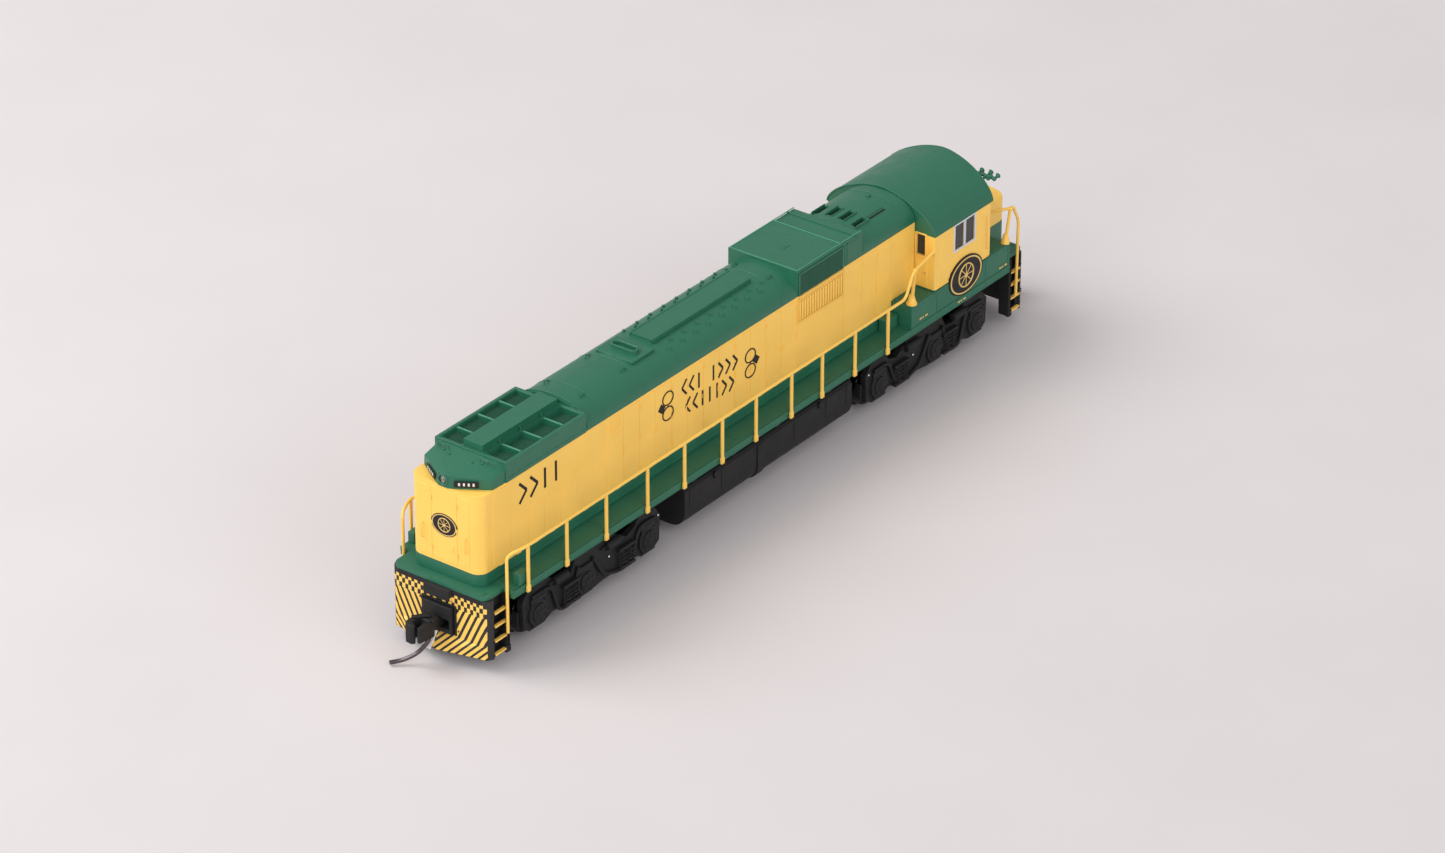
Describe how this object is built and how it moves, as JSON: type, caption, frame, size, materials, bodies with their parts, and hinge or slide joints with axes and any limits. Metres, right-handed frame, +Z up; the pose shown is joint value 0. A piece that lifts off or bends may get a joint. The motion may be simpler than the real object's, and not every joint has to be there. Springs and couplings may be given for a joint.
{
  "type": "model diesel locomotive",
  "caption": "1:160 scale model of a six-axle hood diesel with a low nose, side walkways, handrails, swivelling geared trucks and automatic couplers",
  "frame": {"origin": "on the table under the middle of the locomotive, at the centre of its footprint", "axes": "+X to the cab end, +Y to the locomotive's left side, +Z up"},
  "size_m": [0.1352, 0.0202, 0.029],
  "materials": {
    "yellow_plastic": "satin paint",
    "green_plastic": "satin paint",
    "black_plastic": "moulded",
    "clear_plastic": "clear",
    "lens_plastic": "clear",
    "diecast": "machined casting",
    "motor_steel": "plated",
    "screw_steel": "bright",
    "circuit_board": "solder mask",
    "brass": "turned",
    "bronze": "stamped sheet",
    "nylon": "moulded",
    "blackened_metal": "chemically blackened"
  },
  "bodies": {
    "chassis": {"frame_left": "diecast", "frame_right": "diecast", "motor": "motor_steel", "light_board": "circuit_board", "led_front": "lens_plastic", "led_rear": "lens_plastic", "bearing_block_front": "brass", "bearing_block_rear": "brass", "frame_screw_front": "screw_steel", "frame_screw_rear": "screw_steel", "fuel_tank": "black_plastic"},
    "shell": {"walkway": "green_plastic", "pilot_front": "black_plastic", "pilot_rear": "black_plastic", "long_hood": "yellow_plastic", "cab": "yellow_plastic", "cab_glazing": "clear_plastic", "short_hood": "yellow_plastic", "horn": "green_plastic", "headlight_front": "lens_plastic", "headlight_rear": "lens_plastic", "handrail_left": "yellow_plastic", "handrail_right": "yellow_plastic", "handrail_front_left": "yellow_plastic", "handrail_front_right": "yellow_plastic", "coupler_box_front": "black_plastic", "coupler_box_rear": "black_plastic"},
    "drive_shaft": {"motor_shaft": "motor_steel", "flywheel_front": "brass", "flywheel_rear": "brass", "worm_front": "black_plastic", "worm_rear": "black_plastic"},
    "truck_front": {"gearbox_front": "black_plastic", "sideframe_front_left": "black_plastic", "sideframe_front_right": "black_plastic", "pickup_front_left": "bronze", "pickup_front_right": "bronze"},
    "worm_gear_front": {"worm_gear_front": "nylon"},
    "idler_gear_front_outer": {"idler_gear_front_outer": "nylon"},
    "idler_gear_front_inner": {"idler_gear_front_inner": "nylon"},
    "wheelset_front_outer": {"wheelset_front_outer": "blackened_metal"},
    "wheelset_front_middle": {"wheelset_front_middle": "blackened_metal"},
    "wheelset_front_inner": {"wheelset_front_inner": "blackened_metal"},
    "coupler_front": {"coupler_front": "black_plastic", "trip_pin_front": "blackened_metal"},
    "knuckle_front": {"knuckle_front": "black_plastic"},
    "truck_rear": {"gearbox_rear": "black_plastic", "sideframe_rear_left": "black_plastic", "sideframe_rear_right": "black_plastic", "pickup_rear_left": "bronze", "pickup_rear_right": "bronze"},
    "worm_gear_rear": {"worm_gear_rear": "nylon"},
    "idler_gear_rear_outer": {"idler_gear_rear_outer": "nylon"},
    "idler_gear_rear_inner": {"idler_gear_rear_inner": "nylon"},
    "wheelset_rear_outer": {"wheelset_rear_outer": "blackened_metal"},
    "wheelset_rear_middle": {"wheelset_rear_middle": "blackened_metal"},
    "wheelset_rear_inner": {"wheelset_rear_inner": "blackened_metal"},
    "coupler_rear": {"coupler_rear": "black_plastic", "trip_pin_rear": "blackened_metal"},
    "knuckle_rear": {"knuckle_rear": "black_plastic"}
  },
  "joints": [
    {"name": "shell_lift", "type": "slide", "parent": "chassis", "child": "shell", "axis": [0, 0, 1], "range_m": [0, 0.03]},
    {"name": "drive_shaft_spin", "type": "hinge", "parent": "chassis", "child": "drive_shaft", "pos_m": [0, 0, 0.0156], "axis": [1, 0, 0], "continuous": true},
    {"name": "truck_front_swivel", "type": "hinge", "parent": "chassis", "child": "truck_front", "pos_m": [0.0384, 0, 0.0125], "axis": [0, 0, 1], "range_deg": [-8, 8]},
    {"name": "worm_gear_front_spin", "type": "hinge", "parent": "truck_front", "child": "worm_gear_front", "pos_m": [0.0384, 0, 0.01004], "axis": [0, 1, 0], "continuous": true},
    {"name": "idler_gear_front_outer_spin", "type": "hinge", "parent": "truck_front", "child": "idler_gear_front_outer", "pos_m": [0.04581, 0, 0.00836], "axis": [0, 1, 0], "continuous": true},
    {"name": "idler_gear_front_inner_spin", "type": "hinge", "parent": "truck_front", "child": "idler_gear_front_inner", "pos_m": [0.03099, 0, 0.00836], "axis": [0, 1, 0], "continuous": true},
    {"name": "wheelset_front_outer_spin", "type": "hinge", "parent": "truck_front", "child": "wheelset_front_outer", "pos_m": [0.0502, 0, 0.0037], "axis": [0, 1, 0], "continuous": true},
    {"name": "wheelset_front_middle_spin", "type": "hinge", "parent": "truck_front", "child": "wheelset_front_middle", "pos_m": [0.0401, 0, 0.0037], "axis": [0, 1, 0], "continuous": true},
    {"name": "wheelset_front_inner_spin", "type": "hinge", "parent": "truck_front", "child": "wheelset_front_inner", "pos_m": [0.0266, 0, 0.0037], "axis": [0, 1, 0], "continuous": true},
    {"name": "coupler_front_swing", "type": "hinge", "parent": "shell", "child": "coupler_front", "pos_m": [0.0582, 0, 0.00585], "axis": [0, 0, 1], "range_deg": [-8, 8], "stiffness_Nm_per_rad": 0.0005},
    {"name": "knuckle_front_open", "type": "hinge", "parent": "coupler_front", "child": "knuckle_front", "pos_m": [0.0646, -0.0015, 0.00585], "axis": [0, 0, -1], "range_deg": [0, 20], "stiffness_Nm_per_rad": 0.0002},
    {"name": "truck_rear_swivel", "type": "hinge", "parent": "chassis", "child": "truck_rear", "pos_m": [-0.0384, 0, 0.0125], "axis": [0, 0, 1], "range_deg": [-8, 8]},
    {"name": "worm_gear_rear_spin", "type": "hinge", "parent": "truck_rear", "child": "worm_gear_rear", "pos_m": [-0.0384, 0, 0.01004], "axis": [0, 1, 0], "continuous": true},
    {"name": "idler_gear_rear_outer_spin", "type": "hinge", "parent": "truck_rear", "child": "idler_gear_rear_outer", "pos_m": [-0.04581, 0, 0.00836], "axis": [0, 1, 0], "continuous": true},
    {"name": "idler_gear_rear_inner_spin", "type": "hinge", "parent": "truck_rear", "child": "idler_gear_rear_inner", "pos_m": [-0.03099, 0, 0.00836], "axis": [0, 1, 0], "continuous": true},
    {"name": "wheelset_rear_outer_spin", "type": "hinge", "parent": "truck_rear", "child": "wheelset_rear_outer", "pos_m": [-0.0502, 0, 0.0037], "axis": [0, 1, 0], "continuous": true},
    {"name": "wheelset_rear_middle_spin", "type": "hinge", "parent": "truck_rear", "child": "wheelset_rear_middle", "pos_m": [-0.0401, 0, 0.0037], "axis": [0, 1, 0], "continuous": true},
    {"name": "wheelset_rear_inner_spin", "type": "hinge", "parent": "truck_rear", "child": "wheelset_rear_inner", "pos_m": [-0.0266, 0, 0.0037], "axis": [0, 1, 0], "continuous": true},
    {"name": "coupler_rear_swing", "type": "hinge", "parent": "shell", "child": "coupler_rear", "pos_m": [-0.0582, 0, 0.00585], "axis": [0, 0, 1], "range_deg": [-8, 8], "stiffness_Nm_per_rad": 0.0005},
    {"name": "knuckle_rear_open", "type": "hinge", "parent": "coupler_rear", "child": "knuckle_rear", "pos_m": [-0.0646, 0.0015, 0.00585], "axis": [0, 0, -1], "range_deg": [0, 20], "stiffness_Nm_per_rad": 0.0002}
  ],
  "couplings": [
    {"joint": "worm_gear_front_spin", "follows": "drive_shaft_spin", "ratio": 0.055556},
    {"joint": "idler_gear_front_outer_spin", "follows": "drive_shaft_spin", "ratio": -0.05},
    {"joint": "idler_gear_front_inner_spin", "follows": "drive_shaft_spin", "ratio": -0.05},
    {"joint": "wheelset_front_outer_spin", "follows": "drive_shaft_spin", "ratio": 0.083333},
    {"joint": "wheelset_front_inner_spin", "follows": "drive_shaft_spin", "ratio": 0.083333},
    {"joint": "worm_gear_rear_spin", "follows": "drive_shaft_spin", "ratio": 0.055556},
    {"joint": "idler_gear_rear_outer_spin", "follows": "drive_shaft_spin", "ratio": -0.05},
    {"joint": "idler_gear_rear_inner_spin", "follows": "drive_shaft_spin", "ratio": -0.05},
    {"joint": "wheelset_rear_outer_spin", "follows": "drive_shaft_spin", "ratio": 0.083333},
    {"joint": "wheelset_rear_inner_spin", "follows": "drive_shaft_spin", "ratio": 0.083333}
  ]
}
